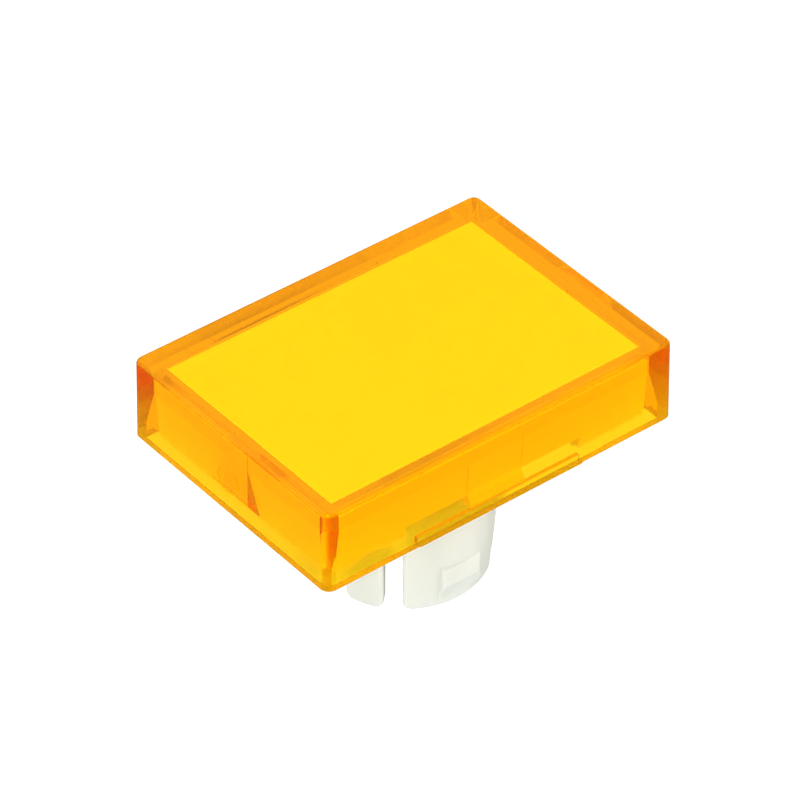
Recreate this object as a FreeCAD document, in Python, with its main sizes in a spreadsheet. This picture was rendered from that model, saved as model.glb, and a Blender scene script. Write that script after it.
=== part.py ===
import FreeCAD, Part
import math
import os

import Sketcher
from FreeCAD import Placement, Rotation, Vector

"""Rectangular snap-in cap of an illuminated pushbutton, in millimetres.

An amber lens cover fits over an opal diffuser tray and is held by two latch tongues. The tray sits on
a carrier, whose round split stem snaps into the switch: two legs carry lugs and two guide the cap.
+X runs along the lens, +Y across it and +Z up, out of the panel. The origin is on the stem's axis, in
the plane of the legs' tips.
"""

SIZES = [
    # lens cover
    ("total_height", 12.75),    # legs' tips to the lens face
    ("lens_length", 21.1),      # at the face
    ("lens_width", 15.05),      # at the face
    ("lens_height", 4.56),      # face to rim
    ("lens_draft", 0.075),      # each wall's spread from the face to the rim
    ("lens_roof", 0.8),         # thickness over the diffuser
    ("lens_corner", 0.45),      # upright outer edges
    ("lens_edge", 0.22),        # edges round the face
    ("wall_top", 1.1),          # side wall beside the roof
    ("wall_base", 0.66),        # side wall at the rim
    ("upright_depth", 1.7),     # from the face to where the cavity starts to flare
    ("flare_depth", 3.6),       # from the face to where the flare ends
    ("rail_length", 9.95),      # catch rail inside each long wall
    ("rail_reach", 0.2),        # how far it stands in from the wall
    ("rail_height", 0.36),
    ("rail_drop", 0.15),        # how far it hangs below the rim
    ("land_length", 12.9),      # shallow land on the rim each side of the rail
    ("land_drop", 0.04),
    ("pad_face", 9.43),         # inner face of the flow pad in each short wall, from the centre
    ("pad_half", 0.9),          # half the width of that face
    ("pad_spread", 2.6),        # widening of the pad per unit of its depth
    ("pad_depth", 3.65),        # from the lens face to the pad's lower end
    ("gate_radius", 0.85),      # ring mark round the gate, in the left short wall
    ("gate_ring", 0.1),
    ("gate_depth", 2.65),       # from the lens face to its centre
    # diffuser tray
    ("play", 0.06),             # gap between the tray and the cavity
    ("diffuser_plate", 1.0),
    ("diffuser_edge", 0.12),
    ("skirt", 0.8),             # skirt thickness
    ("skirt_depth", 4.46),      # from the lens face to the skirt's lower edge
    ("window_end", 5.35),       # far end of the low windows in the skirt, from the centre
    ("window_depth", 3.66),     # from the lens face to the windows' upper edge
    ("key_along", 7.4),         # centre of the arched key notch at the skirt's left end
    ("key_radius", 2.1),
    ("key_rise", 0.2),          # how far the arch rises above the skirt's lower edge
    ("post_radius", 0.8),       # corner posts that stand on the carrier
    ("post_across", 7.5),
    ("post_along", 4.5),
    # latch tongues
    ("tongue_width", 3.3),
    ("tongue_thick", 0.55),
    ("tongue_root", 11.0),      # height of its upper end
    ("tongue_tip", 8.45),
    ("slit", 0.03),             # cut each side of the tongue
    ("hook_reach", 0.42),
    ("hook_rise", 0.8),
    ("hook_lip", 0.12),         # upright edge below the hook's ramp
    # carrier
    ("flange_low", 8.75),
    ("flange_thick", 0.8),
    ("flange_gap", 0.08),       # round its edge, inside the skirt
    ("collar_radius", 4.78),
    ("stem_bore", 3.6),
    ("collar_low", 6.0),
    ("collar_root", 0.3),       # fillet under the flange
    # legs
    ("leg_radius", 4.6),
    ("taper_top", 2.9),         # height where the legs start to taper
    ("tip_radius", 4.38),
    ("slot_width", 0.93),
    ("tip_corner", 0.45),       # lower corners of each leg, at the slots
    ("tip_round", 0.2),         # lower outer edge of each leg
    ("lug_low", 0.55),
    ("lug_high", 2.75),
    ("lug_width", 2.35),
    ("lug_face", 4.64),         # flat outer face of the lug, from the stem's axis
    ("lug_ramp", 0.75),         # height of the ramp below that face
    ("lug_back", 0.45),         # height of the slope above it
    ("keyway_width", 1.7),      # notch in the left leg
    ("keyway_height", 3.2),
]
BEYOND = 5.0        # how far a cutting shape runs past what it cuts
ANCHOR = 0.3        # how far an added shape starts inside what it grows from
SIDE = "( lens_width / 2 - wall_top - play )"      # outer face of the tray's long sides

doc = FreeCAD.newDocument("button_cap")
sizes = doc.addObject("Spreadsheet::Sheet", "Sizes")
size = dict(SIZES)


def fill_sheet():
    """Writes the driving dimensions into the spreadsheet, one alias each."""
    for row, (alias, number) in enumerate(SIZES, start=1):
        sizes.set(f"A{row}", alias)
        sizes.set(f"B{row}", str(number))
        sizes.setAlias(f"B{row}", alias)
    doc.recompute()


def bound(text):
    """An expression in which each driving dimension's name points into the spreadsheet."""
    words = text.replace("(", "( ").replace(")", " )").split()
    return " ".join(f"Sizes.{word}" if word in size else word for word in words)


def bind(feature, prop, text):
    """Binds a property of a feature to an expression of driving dimensions."""
    feature.setExpression(prop, bound(text))


def new_body(label):
    body = doc.addObject("PartDesign::Body", label)
    body.Label = label
    return body


def plane(body, role):
    """One of the body's own origin planes."""
    return next(f for f in body.Origin.OriginFeatures if f.Role == role)


def new_sketch(body, name, role="XY_Plane", offset="0"):
    """A sketch on one of the body's origin planes, moved along its normal by an expression."""
    sketch = body.newObject("Sketcher::SketchObject", name)
    sketch.AttachmentSupport = (plane(body, role), [""])
    sketch.MapMode = "FlatFace"
    bind(sketch, "AttachmentOffset.Base.z", offset)
    return sketch


def outline(sketch, corners, first=0):
    """Adds a closed outline. Each corner is a pair of expressions, measured from the sketch's origin."""
    count = len(corners)
    seeds = [
        Vector(2 + math.cos(2 * math.pi * i / count), 2 + math.sin(2 * math.pi * i / count), 0)
        for i in range(count)
    ]
    for i in range(count):
        sketch.addGeometry(Part.LineSegment(seeds[i], seeds[(i + 1) % count]), False)
    for i in range(count):
        follower = first + (i + 1) % count
        sketch.addConstraint(Sketcher.Constraint("Coincident", first + i, 2, follower, 1))
    for i, corner in enumerate(corners):
        for kind, text in zip(("DistanceX", "DistanceY"), corner):
            number = sketch.addConstraint(Sketcher.Constraint(kind, -1, 1, first + i, 1, 1.0))
            bind(sketch, f"Constraints[{number}]", text)


def flipped(corners):
    """The same outline mirrored in the sketch's vertical axis."""
    return [(f"0 - ( {across} )", up) for across, up in reversed(corners)]


def rectangle(sketch, half_across, half_up, first=0):
    """Adds a rectangle centred on the sketch's origin, from its half sizes."""
    corners = [
        (f"0 - ( {half_across} )", f"0 - ( {half_up} )"),
        (half_across, f"0 - ( {half_up} )"),
        (half_across, half_up),
        (f"0 - ( {half_across} )", half_up),
    ]
    outline(sketch, corners, first)


def circle(sketch, radius, across="0", up="0"):
    """Adds a circle whose radius and centre are expressions."""
    number = sketch.addGeometry(Part.Circle(Vector(1, 1, 0), Vector(0, 0, 1), 1.0), False)
    for kind, text in (("DistanceX", across), ("DistanceY", up)):
        centre = sketch.addConstraint(Sketcher.Constraint(kind, -1, 1, number, 3, 1.0))
        bind(sketch, f"Constraints[{centre}]", text)
    wide = sketch.addConstraint(Sketcher.Constraint("Radius", number, 1.0))
    bind(sketch, f"Constraints[{wide}]", radius)


def extrude(body, kind, name, sketch, length, reverse=False):
    """A Pad or a Pocket of a sketch, to a length that is an expression. A Pad rises along the normal."""
    feature = body.newObject(f"PartDesign::{kind}", name)
    feature.Profile = sketch
    feature.Type = "Length"
    bind(feature, "Length", length)
    feature.Reversed = reverse
    sketch.Visibility = False
    doc.recompute()
    return feature


def cut_between(body, name, near, far):
    """Cuts away the straight-sided space between two sketches."""
    feature = body.newObject("PartDesign::SubtractiveLoft", name)
    feature.Profile = near
    feature.Sections = [far]
    feature.Ruled = True
    doc.recompute()
    return feature


def revolve(body, name, sketch):
    """A full Revolution of a sketch on the XZ plane about the stem's axis."""
    feature = body.newObject("PartDesign::Revolution", name)
    feature.Profile = sketch
    feature.ReferenceAxis = (sketch, ["V_Axis"])
    feature.Angle = 360
    doc.recompute()
    return feature


def mirror(body, name, features, role):
    """Mirrors features in one of the body's origin planes and makes that the body's tip."""
    feature = body.newObject("PartDesign::Mirrored", name)
    feature.Originals = features
    feature.MirrorPlane = (plane(body, role), [""])
    body.Tip = feature
    doc.recompute()
    return feature


def fillet(body, name, base, radius, wanted):
    """Rounds the edges of base that the test picks."""
    names = [f"Edge{i}" for i, edge in enumerate(base.Shape.Edges, start=1) if wanted(edge)]
    if not names:
        raise ValueError(f"{name}: no edge to round")
    feature = body.newObject("PartDesign::Fillet", name)
    feature.Base = (base, names)
    bind(feature, "Radius", radius)
    doc.recompute()
    return feature


def draft(body, name, base, height, spread, depth):
    """Leans the upright faces of base outwards below a height, by a spread over a depth."""
    faces = {f"Face{i}": face.BoundBox for i, face in enumerate(base.Shape.Faces, start=1)}
    level = [label for label, box in faces.items() if box.ZLength < 1e-6]
    neutral = next(label for label in level if abs(faces[label].ZMax - height) < 1e-6)
    feature = body.newObject("PartDesign::Draft", name)
    feature.Base = (base, [label for label in faces if label not in level])
    feature.NeutralPlane = (base, [neutral])
    bind(feature, "Angle", f"atan( {spread} / {depth} )")
    doc.recompute()
    return feature


def is_upright(edge):
    """True for a straight edge along Z."""
    ends = [v.Point for v in edge.Vertexes]
    return len(ends) == 2 and abs(abs((ends[1] - ends[0]).z) - edge.Length) < 1e-6


def lies_at(edge, height):
    """True for an edge that lies flat at a height."""
    box = edge.BoundBox
    return abs(box.ZMin - height) < 1e-4 and abs(box.ZMax - height) < 1e-4


def lens_cover():
    """The amber cover: a five-sided shell whose walls thin towards the rim."""
    body = new_body("lens_cover")
    rim = "total_height - lens_height"
    plan = new_sketch(body, "lens_plan", offset=rim)
    rectangle(plan, "lens_length / 2", "lens_width / 2")
    block = extrude(body, "Pad", "lens_block", plan, "lens_height")
    shell = fillet(body, "lens_corners", block, "lens_corner", is_upright)
    face = size["total_height"]
    sides = draft(body, "lens_sides", shell, face, "lens_draft", "lens_height")
    fillet(body, "lens_face_edges", sides, "lens_edge", lambda edge: lies_at(edge, face))

    wide = ("lens_length / 2 - wall_base", "lens_width / 2 - wall_base")
    narrow = ("lens_length / 2 - wall_top", "lens_width / 2 - wall_top")
    mouth = new_sketch(body, "cavity_mouth", offset=rim)
    rectangle(mouth, *wide)
    extrude(body, "Pocket", "cavity_lower", mouth, "lens_height - flare_depth", reverse=True)
    flare_low = new_sketch(body, "flare_low", offset="total_height - flare_depth")
    rectangle(flare_low, *wide)
    flare_high = new_sketch(body, "flare_high", offset="total_height - upright_depth")
    rectangle(flare_high, *narrow)
    cut_between(body, "cavity_flare", flare_low, flare_high)
    upper = new_sketch(body, "cavity_upper_plan", offset="total_height - upright_depth")
    rectangle(upper, *narrow)
    extrude(body, "Pocket", "cavity_upper", upper, "upright_depth - lens_roof", reverse=True)

    wall = "lens_width / 2"
    for name, length, reach, low, rise in (
        ("rail", "rail_length / 2", "wall_base + rail_reach", f"{rim} - rail_drop", "rail_height"),
        ("land", "land_length / 2", "wall_base", f"{rim} - land_drop", "land_drop + wall_base"),
    ):
        plan = new_sketch(body, f"{name}_plan", offset=low)
        corners = [
            (f"0 - {length}", f"0 - {wall}"),
            (length, f"0 - {wall}"),
            (length, f"0 - {wall} + {reach}"),
            (f"0 - {length}", f"0 - {wall} + {reach}"),
        ]
        outline(plan, corners)
        catch = extrude(body, "Pad", name, plan, rise)
        mirror(body, f"{name}_pair", [catch], "XZ_Plane")

    root = "( lens_length / 2 - wall_base )"
    wide = f"( pad_half + ( {root} - pad_face ) * pad_spread )"
    plan = new_sketch(body, "flow_pad_plan", offset="total_height - pad_depth")
    corners = [
        ("pad_face", "0 - pad_half"),
        (root, f"0 - {wide}"),
        (f"{root} + {ANCHOR}", f"0 - {wide}"),
        (f"{root} + {ANCHOR}", wide),
        (root, wide),
        ("pad_face", "pad_half"),
    ]
    outline(plan, corners)
    pad = extrude(body, "Pad", "flow_pad", plan, f"pad_depth - lens_roof + {ANCHOR}")
    mirror(body, "flow_pad_pair", [pad], "YZ_Plane")

    gate = new_sketch(body, "gate_ring_plan", "YZ_Plane", "0 - lens_length / 2")
    circle(gate, "gate_radius", up="total_height - gate_depth")
    circle(gate, "gate_radius - gate_ring", up="total_height - gate_depth")
    extrude(body, "Pocket", "gate_mark", gate, "lens_draft * 2")
    return body


def diffuser():
    """The opal tray under the lens: a plate with an upright skirt."""
    body = new_body("diffuser")
    top = "total_height - lens_roof - play"
    half_length = "lens_length / 2 - wall_top - play"
    plan = new_sketch(body, "tray_plan", offset="total_height - skirt_depth")
    rectangle(plan, half_length, SIDE)
    block = extrude(body, "Pad", "tray_block", plan, "skirt_depth - lens_roof - play")
    face = size["total_height"] - size["lens_roof"] - size["play"]
    fillet(body, "plate_edges", block, "diffuser_edge", lambda edge: lies_at(edge, face))

    inside = new_sketch(body, "inside_plan", offset="total_height - skirt_depth")
    rectangle(inside, f"{half_length} - skirt", f"{SIDE} - skirt")
    depth = "skirt_depth - lens_roof - play - diffuser_plate"
    extrude(body, "Pocket", "inside", inside, depth, reverse=True)

    outer = f"0 - {SIDE} - {ANCHOR}"
    inner = f"0 - {SIDE} + skirt + {ANCHOR}"
    notch = new_sketch(body, "tongue_slot_plan", offset="total_height - skirt_depth")
    near = "tongue_width / 2 + slit"
    outline(notch, [(f"0 - ( {near} )", outer), (near, outer), (near, inner), (f"0 - ( {near} )", inner)])
    rise = "tongue_root - total_height + skirt_depth"
    slot = extrude(body, "Pocket", "tongue_slot", notch, rise, reverse=True)
    mirror(body, "tongue_slot_pair", [slot], "XZ_Plane")

    window = new_sketch(body, "window_plan", offset="total_height - skirt_depth")
    right = [(near, outer), ("window_end", outer), ("window_end", inner), (near, inner)]
    outline(window, right)
    outline(window, flipped(right), first=len(right))
    windows = extrude(body, "Pocket", "windows", window, "skirt_depth - window_depth", reverse=True)
    mirror(body, "window_pair", [windows], "XZ_Plane")

    key = new_sketch(body, "key_plan", "XZ_Plane")
    circle(key, "key_radius", "0 - key_along", "total_height - skirt_depth + key_rise - key_radius")
    arch = extrude(body, "Pocket", "key_notch", key, "lens_width", reverse=True)
    mirror(body, "key_notch_pair", [arch], "XZ_Plane")

    posts = new_sketch(body, "post_plan", offset=f"{top} - diffuser_plate + {ANCHOR}")
    for across in ("post_across", "0 - post_across"):
        for up in ("post_along", "0 - post_along"):
            circle(posts, "post_radius", across, up)
    reach = f"{top} - diffuser_plate + {ANCHOR} - flange_low - flange_thick"
    extrude(body, "Pad", "posts", posts, reach, reverse=True)
    return body


def latch_tongue(label, turn):
    """A latch tongue of the tray's long side, with the hook that holds the lens's catch rail."""
    body = new_body(label)
    side = new_sketch(body, "tongue_side", "YZ_Plane", "0 - tongue_width / 2")
    corners = [
        (f"0 - {SIDE}", "tongue_root"),
        (f"0 - {SIDE}", "tongue_tip + hook_rise"),
        (f"0 - {SIDE} - hook_reach", "tongue_tip + hook_lip"),
        (f"0 - {SIDE} - hook_reach", "tongue_tip"),
        (f"0 - {SIDE} + tongue_thick", "tongue_tip"),
        (f"0 - {SIDE} + tongue_thick", "tongue_root"),
    ]
    outline(side, corners)
    extrude(body, "Pad", "tongue", side, "tongue_width")
    body.Placement = Placement(Vector(0, 0, 0), Rotation(Vector(0, 0, 1), turn))
    return body


def stem_carrier():
    """The carrier: a flange inside the tray's skirt, and the stem's round collar with its lamp bore."""
    body = new_body("stem_carrier")
    plan = new_sketch(body, "flange_plan", offset="flange_low")
    inset = "( wall_top + play + skirt + flange_gap )"
    rectangle(plan, f"lens_length / 2 - {inset}", f"lens_width / 2 - {inset}")
    extrude(body, "Pad", "flange", plan, "flange_thick")
    ring = new_sketch(body, "collar_plan", offset="collar_low")
    circle(ring, "collar_radius")
    collar = extrude(body, "Pad", "collar", ring, f"flange_low - collar_low + {ANCHOR}")

    def at_root(edge):
        on_circle = isinstance(edge.Curve, Part.Circle)
        same = on_circle and abs(edge.Curve.Radius - size["collar_radius"]) < 1e-6
        return same and lies_at(edge, size["flange_low"])

    fillet(body, "collar_root_round", collar, "collar_root", at_root)
    bore = new_sketch(body, "bore_plan", offset="collar_low")
    circle(bore, "stem_bore")
    extrude(body, "Pocket", "lamp_bore", bore, f"flange_low + flange_thick + {BEYOND}", reverse=True)
    return body


def stem_leg(label, turn, lugged=False, keyed=False):
    """One quarter of the split stem, plain or with a lug or a keyway. It faces +X before it is turned."""
    body = new_body(label)
    wall = new_sketch(body, "leg_section", "XZ_Plane")
    corners = [
        ("stem_bore", "collar_low"),
        ("stem_bore", "0"),
        ("tip_radius", "0"),
        ("leg_radius", "taper_top"),
        ("leg_radius", "collar_low"),
    ]
    outline(wall, corners)
    revolve(body, "leg_ring", wall)
    trim = new_sketch(body, "quarter_plan")
    circle(trim, f"leg_radius + {BEYOND}")
    far = f"( leg_radius + {ANCHOR} )"
    corners = [
        ("slot_width * 0.70711", "0"),
        (f"slot_width * 0.70711 + {far}", far),
        (f"slot_width * 0.70711 + {far}", f"0 - {far}"),
    ]
    outline(trim, corners, first=1)
    leg = extrude(body, "Pocket", "quarter", trim, f"collar_low + {BEYOND}", reverse=True)
    if keyed:
        notch = new_sketch(body, "keyway_plan")
        across = "keyway_width / 2"
        near, far = f"stem_bore - {ANCHOR}", f"leg_radius + {ANCHOR}"
        outline(notch, [(near, f"0 - {across}"), (far, f"0 - {across}"), (far, across), (near, across)])
        leg = extrude(body, "Pocket", "keyway", notch, "keyway_height", reverse=True)

    def at_corner(edge):
        return lies_at(edge, 0) and isinstance(edge.Curve, Part.Line)

    def at_outer_tip(edge):
        inner = isinstance(edge.Curve, Part.Circle) and edge.Curve.Radius < size["stem_bore"] + 1e-6
        return lies_at(edge, 0) and isinstance(edge.Curve, Part.Circle) and not inner

    corners = fillet(body, "tip_corners", leg, "tip_corner", at_corner)
    fillet(body, "tip_round_edges", corners, "tip_round", at_outer_tip)
    if lugged:
        lug = new_sketch(body, "lug_section", "XZ_Plane", "0 - lug_width / 2")
        corners = [
            ("tip_radius", "lug_low"),
            ("lug_face", "lug_low + lug_ramp"),
            ("lug_face", "lug_high - lug_back"),
            ("tip_radius", "lug_high"),
            (f"tip_radius - {ANCHOR}", "lug_high"),
            (f"tip_radius - {ANCHOR}", "lug_low"),
        ]
        outline(lug, corners)
        extrude(body, "Pad", "lug", lug, "lug_width")
    body.Placement = Placement(Vector(0, 0, 0), Rotation(Vector(0, 0, 1), turn))
    return body


def write_parts(bodies):
    """Checks every object and shape, then writes each sub-part to parts/LABEL.step."""
    doc.recompute()
    for thing in doc.Objects:
        if {"Invalid", "Error"} & set(thing.State):
            raise ValueError(f"{thing.Label} failed: {thing.State}")
    for body in bodies:
        shape = body.Shape
        if shape.isNull() or not shape.isValid() or len(shape.Solids) != 1:
            raise ValueError(f"{body.Label}: not one valid solid, {len(shape.Solids)} solids")
    os.makedirs("parts", exist_ok=True)
    for body in bodies:
        body.Shape.exportStep(f"parts/{body.Label}.step")
        box = body.Shape.BoundBox
        print(f"{body.Label}: volume {body.Shape.Volume:.2f}, "
              f"x {box.XMin:.2f} {box.XMax:.2f}, y {box.YMin:.2f} {box.YMax:.2f}, "
              f"z {box.ZMin:.2f} {box.ZMax:.2f}")


def main():
    fill_sheet()
    bodies = [lens_cover(), diffuser(), stem_carrier()]
    bodies.append(latch_tongue("latch_tongue_front", 0))
    bodies.append(latch_tongue("latch_tongue_rear", 180))
    bodies.append(stem_leg("snap_leg_front", -90, lugged=True))
    bodies.append(stem_leg("snap_leg_rear", 90, lugged=True))
    bodies.append(stem_leg("guide_leg_left", 180, keyed=True))
    bodies.append(stem_leg("guide_leg_right", 0))
    write_parts(bodies)


main()
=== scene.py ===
import math

import bmesh
import bpy
from mathutils import Matrix, Vector


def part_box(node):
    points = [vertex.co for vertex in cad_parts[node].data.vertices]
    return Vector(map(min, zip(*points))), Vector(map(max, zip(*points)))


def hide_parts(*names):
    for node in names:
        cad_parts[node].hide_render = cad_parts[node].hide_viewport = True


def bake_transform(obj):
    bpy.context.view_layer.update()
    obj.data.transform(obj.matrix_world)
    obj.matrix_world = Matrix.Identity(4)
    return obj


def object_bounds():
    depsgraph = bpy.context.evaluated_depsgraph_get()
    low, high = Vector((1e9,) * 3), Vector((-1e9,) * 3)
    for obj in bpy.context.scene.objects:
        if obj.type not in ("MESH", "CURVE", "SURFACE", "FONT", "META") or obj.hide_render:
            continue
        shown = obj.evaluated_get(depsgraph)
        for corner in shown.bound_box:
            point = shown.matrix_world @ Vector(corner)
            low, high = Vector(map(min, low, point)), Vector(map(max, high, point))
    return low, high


# Looks of the amber pushbutton cap. Lengths are in metres, and MM is one millimetre.

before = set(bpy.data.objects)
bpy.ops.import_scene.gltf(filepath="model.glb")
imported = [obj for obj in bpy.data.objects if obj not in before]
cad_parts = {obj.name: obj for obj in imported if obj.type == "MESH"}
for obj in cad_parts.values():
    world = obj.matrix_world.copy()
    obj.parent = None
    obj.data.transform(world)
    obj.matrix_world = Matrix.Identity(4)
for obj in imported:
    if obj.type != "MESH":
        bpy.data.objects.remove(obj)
cad_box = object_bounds()

MM = 0.001
TOP = cad_box[1][2]
LENS_HEIGHT = 4.56 * MM
RIM = TOP - LENS_HEIGHT
CAVITY_HALF_LENGTH = 10.4 * MM          # a little outside the lens's inner faces
CAVITY_HALF_WIDTH = 7.4 * MM
LEG_RADIUS = 4.6 * MM
LEG_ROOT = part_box("snap_leg_front")[1][2]
LEG_REACH = 1.8 * MM                    # the stretch over which a leg bends
TONGUE_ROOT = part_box("latch_tongue_front")[1][2]
TONGUE_REACH = 0.9 * MM
BEND_RINGS = 10
LUG_ROUNDING = 0.15 * MM

WHITE = 1.05                            # strength that shows as paper white
MIRROR_PEAK = Vector((-0.66, -0.54, 0.52)).normalized()   # brightest side of mirrored light
SWEEP_PEAK = Vector((-0.25, -0.8, 0.55)).normalized()     # brightest side of the white sweep
LAMP = Vector((-0.33, -0.27, 0.9)).normalized()           # direction to the soft box


def principled(name, color, roughness=0.4, ior=1.5):
    """A new material, its node tree and its Principled shader."""
    material = bpy.data.materials.new(name)
    material.use_nodes = True
    tree = material.node_tree
    shader = tree.nodes["Principled BSDF"]
    shader.inputs["Base Color"].default_value = (*color, 1.0)
    shader.inputs["Roughness"].default_value = roughness
    shader.inputs["IOR"].default_value = ior
    return material, tree, shader


def add(tree, kind, **values):
    """A new node whose named properties and inputs are set."""
    node = tree.nodes.new(kind)
    for name, value in values.items():
        if name in node.inputs:
            node.inputs[name].default_value = value
        else:
            setattr(node, name, value)
    return node


def noise(tree, scale, stretch=(1.0, 1.0, 1.0), detail=3.0):
    """Noise over the object's own coordinates; scale is in waves per metre."""
    place = add(tree, "ShaderNodeTexCoord")
    squeeze = add(tree, "ShaderNodeMapping")
    squeeze.inputs["Scale"].default_value = stretch
    cloud = add(tree, "ShaderNodeTexNoise", Scale=scale, Detail=detail)
    tree.links.new(place.outputs["Object"], squeeze.inputs["Vector"])
    tree.links.new(squeeze.outputs["Vector"], cloud.inputs["Vector"])
    return cloud.outputs["Fac"]


def spread(tree, source, low, high, start=0.3, end=0.7):
    """Maps the middle of a noise to a range."""
    ramp = add(tree, "ShaderNodeMapRange")
    for name, value in zip(("From Min", "From Max", "To Min", "To Max"), (start, end, low, high)):
        ramp.inputs[name].default_value = value
    tree.links.new(source, ramp.inputs["Value"])
    return ramp.outputs["Result"]


def add_up(tree, first, second):
    total = add(tree, "ShaderNodeMath", operation="ADD")
    tree.links.new(first, total.inputs[0])
    tree.links.new(second, total.inputs[1])
    return total.outputs["Value"]


def times(tree, first, second):
    product = add(tree, "ShaderNodeMath", operation="MULTIPLY")
    tree.links.new(first, product.inputs[0])
    tree.links.new(second, product.inputs[1])
    return product.outputs["Value"]


def choose(tree, factor, without, with_it):
    """The second value where the factor is 1, and the first where it is 0; each is a number or an output."""
    pick = add(tree, "ShaderNodeMix", data_type="FLOAT")
    tree.links.new(factor, pick.inputs["Factor"])
    for name, value in (("A", without), ("B", with_it)):
        if isinstance(value, float):
            pick.inputs[name].default_value = value
        else:
            tree.links.new(value, pick.inputs[name])
    return pick.outputs["Result"]


def bump(tree, shader, height, distance, strength=1.0):
    """Shapes the surface by a height field; distance is the height's size in metres."""
    relief = add(tree, "ShaderNodeBump", Strength=strength, Distance=distance)
    tree.links.new(height, relief.inputs["Height"])
    tree.links.new(relief.outputs["Normal"], shader.inputs["Normal"])


def compare(tree, operation, value, limit):
    """1 where the value is on the stated side of the limit."""
    test = add(tree, "ShaderNodeMath", operation=operation)
    test.inputs[1].default_value = limit
    tree.links.new(value, test.inputs[0])
    return test.outputs["Value"]


def magnitude(tree, value):
    size = add(tree, "ShaderNodeMath", operation="ABSOLUTE")
    tree.links.new(value, size.inputs[0])
    return size.outputs["Value"]


def satin(tree, inner=0.17, edge=0.6):
    """The lens's added roughness: some on its inner faces, more on its rim and none on its outer faces."""
    place = add(tree, "ShaderNodeTexCoord")
    spot = add(tree, "ShaderNodeSeparateXYZ")
    facing = add(tree, "ShaderNodeSeparateXYZ")
    tree.links.new(place.outputs["Object"], spot.inputs["Vector"])
    tree.links.new(place.outputs["Normal"], facing.inputs["Vector"])
    inside_length = compare(tree, "LESS_THAN", magnitude(tree, spot.outputs["X"]), CAVITY_HALF_LENGTH)
    inside_width = compare(tree, "LESS_THAN", magnitude(tree, spot.outputs["Y"]), CAVITY_HALF_WIDTH)
    under_face = compare(tree, "LESS_THAN", magnitude(tree, spot.outputs["Z"]), TOP - 0.1 * MM)
    cavity = times(tree, times(tree, inside_length, inside_width), under_face)
    low = compare(tree, "LESS_THAN", spot.outputs["Z"], RIM + 0.02 * MM)
    level = compare(tree, "GREATER_THAN", magnitude(tree, facing.outputs["Z"]), 0.5)
    return choose(tree, times(tree, low, level), choose(tree, cavity, 0.0, inner), edge)


def amber():
    """Clear amber plastic, darker the further light goes inside. Its outer faces are polished, with
    hair scratches and mould flow, and its inner faces are satin."""
    material, tree, shader = principled("amber_polycarbonate", (1.0, 0.66, 0.02), 0.04, 1.49)
    shader.inputs["Transmission Weight"].default_value = 1.0
    shader.inputs["Specular Tint"].default_value = (1.0, 0.8, 0.0, 1.0)
    volume = add(tree, "ShaderNodeVolumeAbsorption", Color=(0.9985, 0.9625, 0.6, 1.0), Density=2600.0)
    tree.links.new(volume.outputs["Volume"], tree.nodes["Material Output"].inputs["Volume"])
    scratches = spread(tree, noise(tree, 900.0, (1.0, 14.0, 1.0), 5.0), 0.0, 0.05, 0.66, 0.72)
    haze = spread(tree, noise(tree, 500.0), 0.03, 0.06)
    polish = add_up(tree, haze, scratches)
    tree.links.new(add_up(tree, polish, satin(tree)), shader.inputs["Roughness"])
    bump(tree, shader, noise(tree, 260.0, (1.0, 1.0, 0.5), 2.0), 0.004 * MM)
    return material


def opal():
    """Opal white plastic of the diffuser, faintly clouded."""
    material, tree, shader = principled("opal_diffuser", (0.93, 0.89, 0.84), 0.5)
    tint = add(tree, "ShaderNodeMixRGB")
    tint.inputs["Color1"].default_value = (0.91, 0.86, 0.80, 1.0)
    tint.inputs["Color2"].default_value = (0.95, 0.91, 0.87, 1.0)
    tree.links.new(noise(tree, 180.0), tint.inputs["Fac"])
    tree.links.new(tint.outputs["Color"], shader.inputs["Base Color"])
    tree.links.new(spread(tree, noise(tree, 1500.0), 0.42, 0.6), shader.inputs["Roughness"])
    bump(tree, shader, noise(tree, 6000.0, detail=2.0), 0.003 * MM)
    return material


def milky():
    """Milky translucent plastic of the stem: satin, with faint flow streaks down the legs."""
    material, tree, shader = principled("milky_stem", (0.735, 0.765, 0.7), 0.35)
    shader.inputs["Subsurface Weight"].default_value = 0.6
    shader.inputs["Subsurface Radius"].default_value = (1.0, 1.0, 1.0)
    shader.inputs["Subsurface Scale"].default_value = 0.8 * MM
    tint = add(tree, "ShaderNodeMixRGB")
    tint.inputs["Color1"].default_value = (0.715, 0.745, 0.68, 1.0)
    tint.inputs["Color2"].default_value = (0.765, 0.795, 0.73, 1.0)
    streaks = noise(tree, 420.0, (1.0, 1.0, 0.25))
    tree.links.new(spread(tree, streaks, 0.0, 1.0), tint.inputs["Fac"])
    tree.links.new(tint.outputs["Color"], shader.inputs["Base Color"])
    tree.links.new(spread(tree, noise(tree, 2500.0), 0.28, 0.45), shader.inputs["Roughness"])
    bump(tree, shader, noise(tree, 7000.0, detail=2.0), 0.003 * MM)
    return material


def dress(mesh, material):
    """Gives a mesh its only material."""
    mesh.materials.clear()
    mesh.materials.append(material)


def soften_lug(shape):
    """Rounds the sharp edges of the snap lug, where it stands proud of the leg."""
    bmesh.ops.remove_doubles(shape, verts=shape.verts[:], dist=0.0005 * MM)
    bmesh.ops.dissolve_limit(
        shape, angle_limit=math.radians(0.5), verts=shape.verts[:], edges=shape.edges[:])
    proud = []
    for edge in shape.edges:
        sharp = len(edge.link_faces) == 2 and edge.calc_face_angle() > math.radians(15)
        if sharp and all(math.hypot(v.co.x, v.co.y) > LEG_RADIUS + 0.02 * MM for v in edge.verts):
            proud.append(edge)
    bmesh.ops.bevel(shape, geom=proud, offset=LUG_ROUNDING, segments=3, profile=0.5, affect="EDGES")


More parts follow.
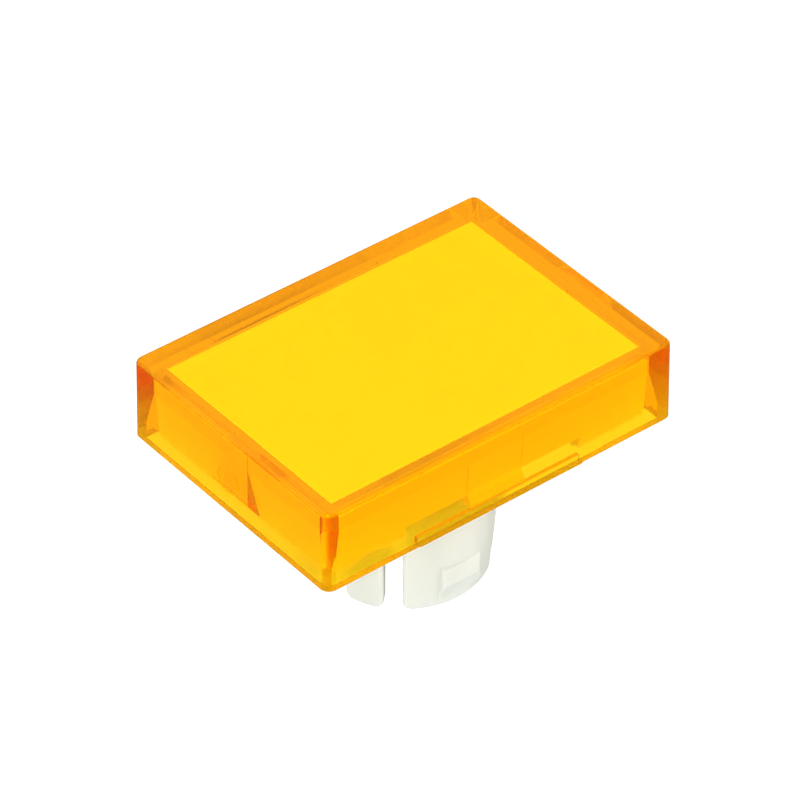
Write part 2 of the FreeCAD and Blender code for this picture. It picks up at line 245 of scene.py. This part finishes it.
def flexing(node, material, root, reach):
    """A copy of a node, cut into rings over a stretch below its root, where it grows from the carrier."""
    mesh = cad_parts[node].data.copy()
    shape = bmesh.new()
    shape.from_mesh(mesh)
    if node.startswith("snap"):
        soften_lug(shape)
    for ring in range(1, BEND_RINGS + 1):
        height = root - reach * ring / BEND_RINGS
        everything = shape.verts[:] + shape.edges[:] + shape.faces[:]
        bmesh.ops.bisect_plane(shape, geom=everything, plane_co=(0, 0, height), plane_no=(0, 0, 1))
    shape.to_mesh(mesh)
    shape.free()
    piece = bpy.data.objects.new(f"{node}_moulding", mesh)
    bpy.context.scene.collection.objects.link(piece)
    dress(mesh, material)
    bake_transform(piece)
    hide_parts(node)


def gradient(tree, direction, low, high):
    """World strength that rises from low to high towards a direction."""
    place = add(tree, "ShaderNodeTexCoord")
    facing = add(tree, "ShaderNodeVectorMath", operation="DOT_PRODUCT")
    facing.inputs[1].default_value = direction
    tree.links.new(place.outputs["Generated"], facing.inputs[0])
    return spread(tree, facing.outputs["Value"], low, high, -0.4, 0.7)


def surroundings():
    """An even white sweep, brightest in front. It has its own strength for the background, for mirrored
    light, for white surfaces, for what's seen through the lens, and for what lights the diffuser."""
    world = bpy.data.worlds.new("studio")
    bpy.context.scene.world = world
    world.use_nodes = True
    tree = world.node_tree
    background = tree.nodes["Background"]
    background.inputs["Color"].default_value = (1.0, 1.0, 1.0, 1.0)
    ray = add(tree, "ShaderNodeLightPath")
    lighting = compare(tree, "GREATER_THAN", ray.outputs["Diffuse Depth"], 0.5)
    mirrored = gradient(tree, MIRROR_PEAK, 0.3, 2.6)
    diffuse = gradient(tree, SWEEP_PEAK, 0.4, 1.15)
    outside = choose(tree, ray.outputs["Is Diffuse Ray"], mirrored, diffuse)
    through = choose(tree, lighting, WHITE, 3.9)
    strength = choose(tree, ray.outputs["Is Transmission Ray"], outside, through)
    strength = choose(tree, ray.outputs["Is Camera Ray"], strength, WHITE)
    tree.links.new(strength, background.inputs["Strength"])


def table():
    """The pale floor: a light table that mirrors little and is clear when seen from below."""
    mesh = bpy.data.meshes.new("floor")
    shape = bmesh.new()
    bmesh.ops.create_grid(shape, x_segments=1, y_segments=1, size=2.0)
    shape.to_mesh(mesh)
    shape.free()
    floor = bpy.data.objects.new("floor", mesh)
    bpy.context.scene.collection.objects.link(floor)
    material, tree, shader = principled("floor", (0.12, 0.12, 0.12), 0.9)
    shader.inputs["Emission Color"].default_value = (1.0, 1.0, 1.0, 1.0)
    ray = add(tree, "ShaderNodeLightPath")
    glow = choose(tree, ray.outputs["Is Diffuse Ray"], WHITE, 0.68)
    tree.links.new(glow, shader.inputs["Emission Strength"])
    dark = add(tree, "ShaderNodeBsdfDiffuse", Color=(0.1, 0.1, 0.1, 1.0))
    mirrored = add(tree, "ShaderNodeMath", operation="SUBTRACT", use_clamp=True)
    tree.links.new(ray.outputs["Is Reflection Ray"], mirrored.inputs[0])
    tree.links.new(ray.outputs["Is Diffuse Ray"], mirrored.inputs[1])
    pick = add(tree, "ShaderNodeMixShader")
    tree.links.new(mirrored.outputs["Value"], pick.inputs["Fac"])
    tree.links.new(shader.outputs["BSDF"], pick.inputs[1])
    tree.links.new(dark.outputs["BSDF"], pick.inputs[2])
    below = add(tree, "ShaderNodeNewGeometry")
    clear = add(tree, "ShaderNodeBsdfTransparent")
    seen = add(tree, "ShaderNodeMixShader")
    tree.links.new(below.outputs["Backfacing"], seen.inputs["Fac"])
    tree.links.new(pick.outputs["Shader"], seen.inputs[1])
    tree.links.new(clear.outputs["BSDF"], seen.inputs[2])
    tree.links.new(seen.outputs["Shader"], tree.nodes["Material Output"].inputs["Surface"])
    mesh.materials.append(material)


def soft_box():
    """A soft box high above the front left, for a glint on the rounded edges."""
    data = bpy.data.lights.new("soft_box", "AREA")
    data.size = 0.5
    data.energy = 10.0
    lamp = bpy.data.objects.new("soft_box", data)
    bpy.context.scene.collection.objects.link(lamp)
    lamp.visible_diffuse = False
    lamp.visible_transmission = False
    lamp.location = Vector((0, 0, TOP)) + LAMP
    lamp.rotation_euler = LAMP.to_track_quat("Z", "Y").to_euler()


def camera():
    """The camera, at the product view's angle."""
    data = bpy.data.cameras.new("camera")
    data.lens = 239.64
    data.sensor_width = 36.0
    data.clip_start = 0.01
    data.clip_end = 10.0
    eye = bpy.data.objects.new("camera", data)
    bpy.context.scene.collection.objects.link(eye)
    azimuth, elevation, roll = map(math.radians, (-38.778, 39.123, 0.2335))
    back = Vector((
        math.sin(azimuth) * math.cos(elevation),
        -math.cos(azimuth) * math.cos(elevation),
        math.sin(elevation),
    ))
    right = Vector((math.cos(azimuth), math.sin(azimuth), 0.0))
    up = back.cross(right)
    turn = Matrix((right, up, back)).transposed().to_4x4()
    turn = turn @ Matrix.Rotation(roll, 4, "Z")
    offset = Vector((-0.183, -2.397, 254.467)) * MM
    eye.matrix_world = Matrix.Translation(Vector((0, 0, TOP)) + turn.to_3x3() @ offset) @ turn
    bpy.context.scene.camera = eye


def exposure():
    """Plain sRGB, and enough bounces for light that is trapped in the clear walls."""
    scene = bpy.context.scene
    scene.view_settings.view_transform = "Standard"
    scene.cycles.max_bounces = 48
    scene.cycles.transmission_bounces = 48
    scene.cycles.glossy_bounces = 24
    scene.cycles.diffuse_bounces = 8


exposure()
surroundings()
table()
soft_box()
camera()

dress(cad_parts["lens_cover"].data, amber())
white = opal()
dress(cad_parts["diffuser"].data, white)
for side in ("front", "rear"):
    flexing(f"latch_tongue_{side}", white, TONGUE_ROOT, TONGUE_REACH)
milk = milky()
dress(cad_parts["stem_carrier"].data, milk)
for kind, side in (("snap", "front"), ("snap", "rear"), ("guide", "left"), ("guide", "right")):
    flexing(f"{kind}_leg_{side}", milk, LEG_ROOT, LEG_REACH)
